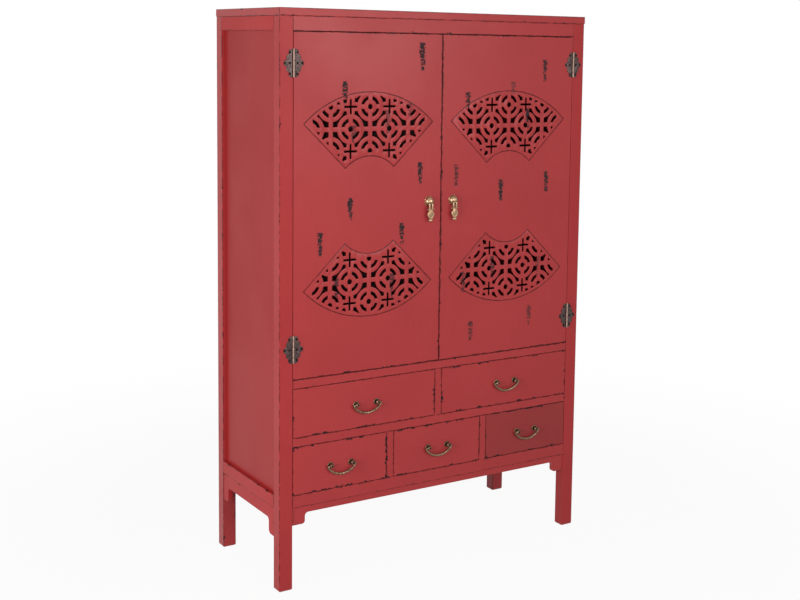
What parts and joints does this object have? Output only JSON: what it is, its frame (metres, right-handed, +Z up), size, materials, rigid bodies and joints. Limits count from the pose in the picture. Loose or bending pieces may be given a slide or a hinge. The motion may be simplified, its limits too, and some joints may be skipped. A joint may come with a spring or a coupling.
{
  "type": "chinese wedding cabinet",
  "caption": "Tall red lacquered cabinet on square legs, with fan-shaped fretwork in its doors and rows of drawers below.",
  "frame": {"origin": "on the floor, at the middle of the bounding box of the closed cabinet", "axes": "+X to the cabinet's right as seen from the front, -Y to its front, +Z up"},
  "size_m": [1.154, 0.487, 1.8],
  "materials": {
    "lacquer": "worn red lacquer, satin",
    "plain_wood": "dark stained, matt",
    "brass": "antique cast brass",
    "bronze": "dark aged bronze"
  },
  "bodies": {
    "carcass": {"post_front_right": "lacquer", "post_front_left": "lacquer", "posts_rear": "lacquer", "front_top_rail": "lacquer", "door_rail": "lacquer", "drawer_rail": "lacquer", "front_bottom_rail": "lacquer", "upper_muntin": "lacquer", "lower_muntins": "lacquer", "side_rails": "lacquer", "side_panel_right": "lacquer", "side_panel_left": "lacquer", "back_rails": "lacquer", "back_panel": "plain_wood", "top_board": "lacquer", "front_apron": "lacquer", "side_aprons": "lacquer", "compartment_floor": "plain_wood", "drawer_boards": "plain_wood", "shelf": "plain_wood", "cleats": "plain_wood", "drawer_guides": "plain_wood", "door_stops": "plain_wood", "hinge_frame_leaves": "bronze", "hinge_pins": "bronze", "hinge_frame_nails": "bronze"},
    "door_left": {"door_left": "lacquer", "fret_upper_left": "lacquer", "fret_lower_left": "lacquer", "knob_left": "brass", "hinge_door_leaves_left": "bronze", "hinge_door_nails_left": "bronze"},
    "drop_left": {"drop_left": "brass"},
    "door_right": {"door_right": "lacquer", "fret_upper_right": "lacquer", "fret_lower_right": "lacquer", "knob_right": "brass", "hinge_door_leaves_right": "bronze", "hinge_door_nails_right": "bronze"},
    "drop_right": {"drop_right": "brass"},
    "drawer_lower_1": {"drawer_lower_1_front": "lacquer", "drawer_lower_1_box": "plain_wood", "drawer_lower_1_posts": "bronze"},
    "drawer_lower_1_bail": {"drawer_lower_1_bail": "bronze"},
    "drawer_lower_2": {"drawer_lower_2_front": "lacquer", "drawer_lower_2_box": "plain_wood", "drawer_lower_2_posts": "bronze"},
    "drawer_lower_2_bail": {"drawer_lower_2_bail": "bronze"},
    "drawer_lower_3": {"drawer_lower_3_front": "lacquer", "drawer_lower_3_box": "plain_wood", "drawer_lower_3_posts": "bronze"},
    "drawer_lower_3_bail": {"drawer_lower_3_bail": "bronze"},
    "drawer_upper_1": {"drawer_upper_1_front": "lacquer", "drawer_upper_1_box": "plain_wood", "drawer_upper_1_posts": "bronze"},
    "drawer_upper_1_bail": {"drawer_upper_1_bail": "bronze"},
    "drawer_upper_2": {"drawer_upper_2_front": "lacquer", "drawer_upper_2_box": "plain_wood", "drawer_upper_2_posts": "bronze"},
    "drawer_upper_2_bail": {"drawer_upper_2_bail": "bronze"}
  },
  "joints": [
    {"name": "door_left_swing", "type": "hinge", "parent": "carcass", "child": "door_left", "pos_m": [-0.5291, -0.2295, 1.199], "axis": [0, 0, -1], "range_deg": [0, 175]},
    {"name": "drop_left_swing", "type": "hinge", "parent": "door_left", "child": "drop_left", "pos_m": [-0.046, -0.2395, 1.1875], "axis": [-1, 0, 0], "range_deg": [-6, 100]},
    {"name": "door_right_swing", "type": "hinge", "parent": "carcass", "child": "door_right", "pos_m": [0.5291, -0.2295, 1.199], "axis": [0, 0, 1], "range_deg": [0, 175]},
    {"name": "drop_right_swing", "type": "hinge", "parent": "door_right", "child": "drop_right", "pos_m": [0.046, -0.2395, 1.1875], "axis": [-1, 0, 0], "range_deg": [-6, 100]},
    {"name": "drawer_lower_1_slide", "type": "slide", "parent": "carcass", "child": "drawer_lower_1", "axis": [0, -1, 0], "range_m": [0, 0.3]},
    {"name": "drawer_lower_1_bail_swing", "type": "hinge", "parent": "drawer_lower_1", "child": "drawer_lower_1_bail", "pos_m": [-0.36167, -0.2365, 0.378], "axis": [-1, 0, 0], "range_deg": [-8, 165]},
    {"name": "drawer_lower_2_slide", "type": "slide", "parent": "carcass", "child": "drawer_lower_2", "axis": [0, -1, 0], "range_m": [0, 0.3]},
    {"name": "drawer_lower_2_bail_swing", "type": "hinge", "parent": "drawer_lower_2", "child": "drawer_lower_2_bail", "pos_m": [0, -0.2365, 0.378], "axis": [-1, 0, 0], "range_deg": [-8, 165]},
    {"name": "drawer_lower_3_slide", "type": "slide", "parent": "carcass", "child": "drawer_lower_3", "axis": [0, -1, 0], "range_m": [0, 0.3]},
    {"name": "drawer_lower_3_bail_swing", "type": "hinge", "parent": "drawer_lower_3", "child": "drawer_lower_3_bail", "pos_m": [0.36167, -0.2365, 0.378], "axis": [-1, 0, 0], "range_deg": [-8, 165]},
    {"name": "drawer_upper_1_slide", "type": "slide", "parent": "carcass", "child": "drawer_upper_1", "axis": [0, -1, 0], "range_m": [0, 0.3]},
    {"name": "drawer_upper_1_bail_swing", "type": "hinge", "parent": "drawer_upper_1", "child": "drawer_upper_1_bail", "pos_m": [-0.27125, -0.2365, 0.561], "axis": [-1, 0, 0], "range_deg": [-8, 165]},
    {"name": "drawer_upper_2_slide", "type": "slide", "parent": "carcass", "child": "drawer_upper_2", "axis": [0, -1, 0], "range_m": [0, 0.3]},
    {"name": "drawer_upper_2_bail_swing", "type": "hinge", "parent": "drawer_upper_2", "child": "drawer_upper_2_bail", "pos_m": [0.27125, -0.2365, 0.561], "axis": [-1, 0, 0], "range_deg": [-8, 165]}
  ]
}
